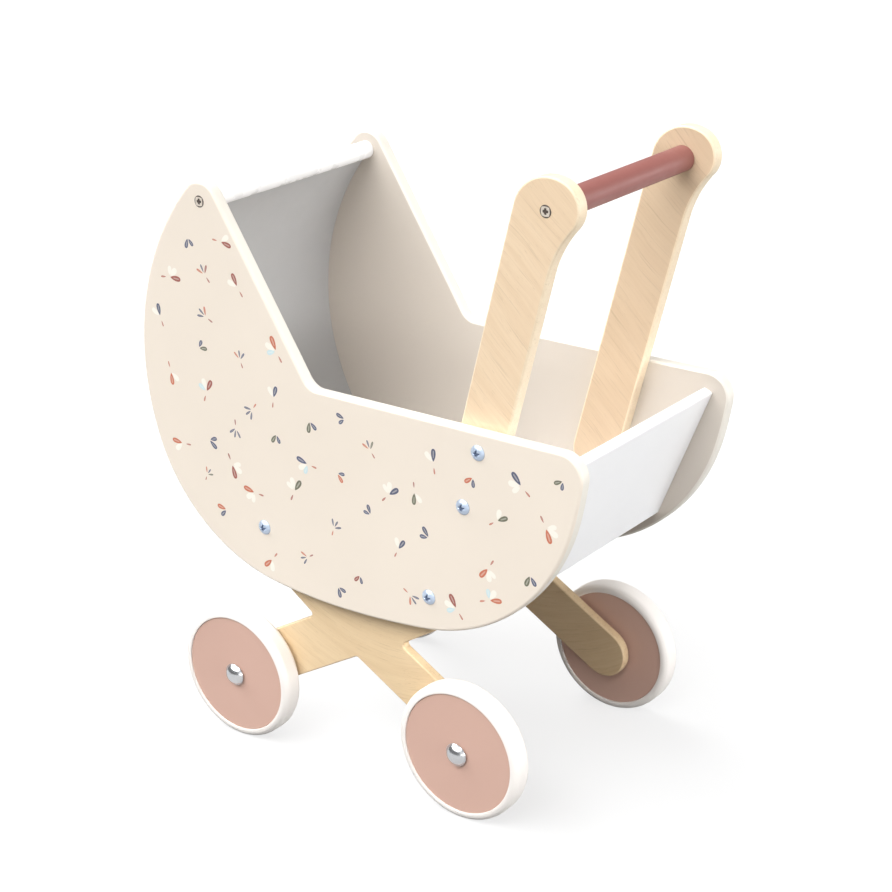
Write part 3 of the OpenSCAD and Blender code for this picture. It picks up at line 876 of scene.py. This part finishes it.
WHEELS = {
    "fl": "wheel_front_left",
    "fr": "wheel_front_right",
    "rl": "wheel_rear_left",
    "rr": "wheel_rear_right",
}
dome = [(0, DOME_H)]
for i in range(1, DOME_RINGS + 1):
    r = (DOME_R - 0.25) * i / DOME_RINGS
    dome.append((r, cap(r, DOME_R, DOME_H)))
dome += [(DOME_R, 0.45), (DOME_R, 0.1), (DOME_R - 0.3, 0)]
pin = [(4, 0), (4, -30), (3.4, -30.6), (0, -30.6)]
for key in WHEELS:
    radii = [0.5, 5.4, 5.4, 0.5]
    wheel_ring("tyre_ring_", DISC_R, TYRE_R, 0, TYRE_W, radii, tyre_foam, key, "tyre_")
    radii = [0, 0.9, 0.9, 0]
    wheel_ring(
        "disc_", BORE_R, DISC_R, 1, TYRE_W - 1, radii, disc_paint, key,
        "wheel_disc_", 50,
    )
    c, sign = (AXLES[key][0], AXLES[key][2]), 1 if key[1] == "l" else -1
    bm = lathe(support(dome + pin, 0.4), c, sign * WHEEL_IN + sign * DOME_OUT, sign, 64)
    finish_mesh("axle_pin_" + key, bm, [chrome], BODY, ["axle_bolt_" + key], 40)

dowel = wood("dowel_wood", 0, 0, (214, 180, 134), (190, 152, 104))
for names, m in (
    (["floor_dowels", "rear_dowels"], dowel),
    (["arm_inserts", "frame_inserts", "axle_inserts"], brass),
    (["axle_spacers", "bush_fl", "bush_fr", "bush_rl", "bush_rr"], nylon),
):
    for n in names:
        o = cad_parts[n]
        o.data.materials.clear()
        o.data.materials.append(m)

# ---------------------------------------------------------------- camera
# Azimuth, elevation, roll, place and lens from the fit to the photo's outlines.
CAMERA_AT, LENS = (-0.99411, 1.30232, 0.91058), 83.23
az, el, roll = (math.radians(v) for v in (217.003, 21.543, -0.883))
fwd = Vector((-math.sin(az) * math.cos(el), math.cos(az) * math.cos(el), -math.sin(el)))
right0 = fwd.cross(Vector((0, 0, 1))).normalized()
up0 = right0.cross(fwd)
right = right0 * math.cos(roll) + up0 * math.sin(roll)
up = right.cross(fwd)
cam = bpy.data.cameras.new("camera")
cam.sensor_width = 36.0
cam.lens = LENS
cam.clip_start, cam.clip_end = 0.05, 60
cam_o = bpy.data.objects.new("camera", cam)
bpy.context.scene.collection.objects.link(cam_o)
aim = Matrix((right, up, -fwd)).transposed().to_4x4()
cam_o.matrix_world = Matrix.Translation(CAMERA_AT) @ aim
bpy.context.scene.camera = cam_o

# ---------------------------------------------------------------- stage and light
# The camera sees an almost white floor with a faint shadow. Light that bounces to the object
# sees a darker one, as under a cut-out studio picture.
FLOOR_HALF, FLOOR_GLOW = 14, 0.72
floor_mat, ft = new_mat("stage_floor", lin(236, 236, 236), 0.9)
ft.bsdf.inputs["Specular IOR Level"].default_value = 0.0
dim = ft.add("BsdfDiffuse", {"Color": (0.08, 0.08, 0.08, 1)})
mirror = ft.add("BsdfDiffuse", {"Color": (0.5, 0.5, 0.5, 1)})
sheet = ft.add("Emission", {"Strength": 1.0})
lit = ft.add("MixShader", {0: FLOOR_GLOW, 1: ft.bsdf.outputs[0], 2: sheet.outputs[0]})
rays = ft.add("LightPath").outputs
bounced = {0: rays["Is Glossy Ray"], 1: dim.outputs[0], 2: mirror.outputs[0]}
bounced = ft.add("MixShader", bounced).outputs[0]
both = ft.add("MixShader", {0: rays["Is Camera Ray"], 1: bounced, 2: lit.outputs[0]})
surface = next(n for n in ft.nt.nodes if n.type == "OUTPUT_MATERIAL").inputs["Surface"]
ft.nt.links.new(both.outputs[0], surface)
me = bpy.data.meshes.new("stage_floor")
corners = [(x * FLOOR_HALF, y * FLOOR_HALF, 0) for x, y in ((-1, -1), (1, -1), (1, 1), (-1, 1))]
me.from_pydata(corners, [], [(0, 1, 2, 3)])
me.materials.append(floor_mat)
ground = bpy.data.objects.new("stage_floor", me)
bpy.context.scene.collection.objects.link(ground)

# Each soft box: direction in degrees from +X, how far round it reaches (a cosine), the heights
# (sines) between which it fades in and out, and its strength.
SOFTBOXES = [
    (45, -0.35, (0.5, 0.62), (0.82, 0.93), 7.3),
    (188, 0.4, (-0.02, 0.02), (0.06, 0.2), 21.0),
    (180, 0.2, (0.1, 0.25), (0.4, 0.55), 1.1),
]
SPREAD = 0.9  # how gradually a soft box fades towards its sides
FILL, OVERHEAD = 0.2, 0.4  # even light from low down and from straight above
world = bpy.data.worlds.new("world")
bpy.context.scene.world = world
world.use_nodes = True
wt = Tree(world.node_tree)
bg = next(n for n in world.node_tree.nodes if n.type == "BACKGROUND")
way = wt.add("TexCoord").outputs["Generated"]
axes = wt.add("SeparateXYZ", {0: way}).outputs
rise = axes[2]
level = wt.vec("NORMALIZE", wt.add("CombineXYZ", {0: axes[0], 1: axes[1]}).outputs[0])


def softbox(toward, reach, lo, hi, strength):
    """Soft light from around one compass direction, between two heights above the horizon."""
    side = wt.smooth(wt.vec("DOT_PRODUCT", level, unit(toward).to_3d()), reach, reach + SPREAD)
    up = wt.math("MULTIPLY", wt.smooth(rise, *lo), wt.smooth(rise, *hi, 1.0, 0.0))
    return wt.math("MULTIPLY", wt.math("MULTIPLY", side, up), strength)


glow = wt.smooth(rise, 0.7, 0.85, FILL, OVERHEAD)
for box in SOFTBOXES:
    glow = wt.math("ADD", glow, softbox(*box))
rays = wt.add("LightPath").outputs
glow = wt.mixf(rays["Is Camera Ray"], glow, 1.0)
world.node_tree.links.new(glow, bg.inputs[1])
bg.inputs[0].default_value = (1, 1, 1, 1)
bpy.context.scene.view_settings.view_transform = "Standard"
bpy.context.scene.view_settings.look = "None"

bpy.context.view_layer.update()
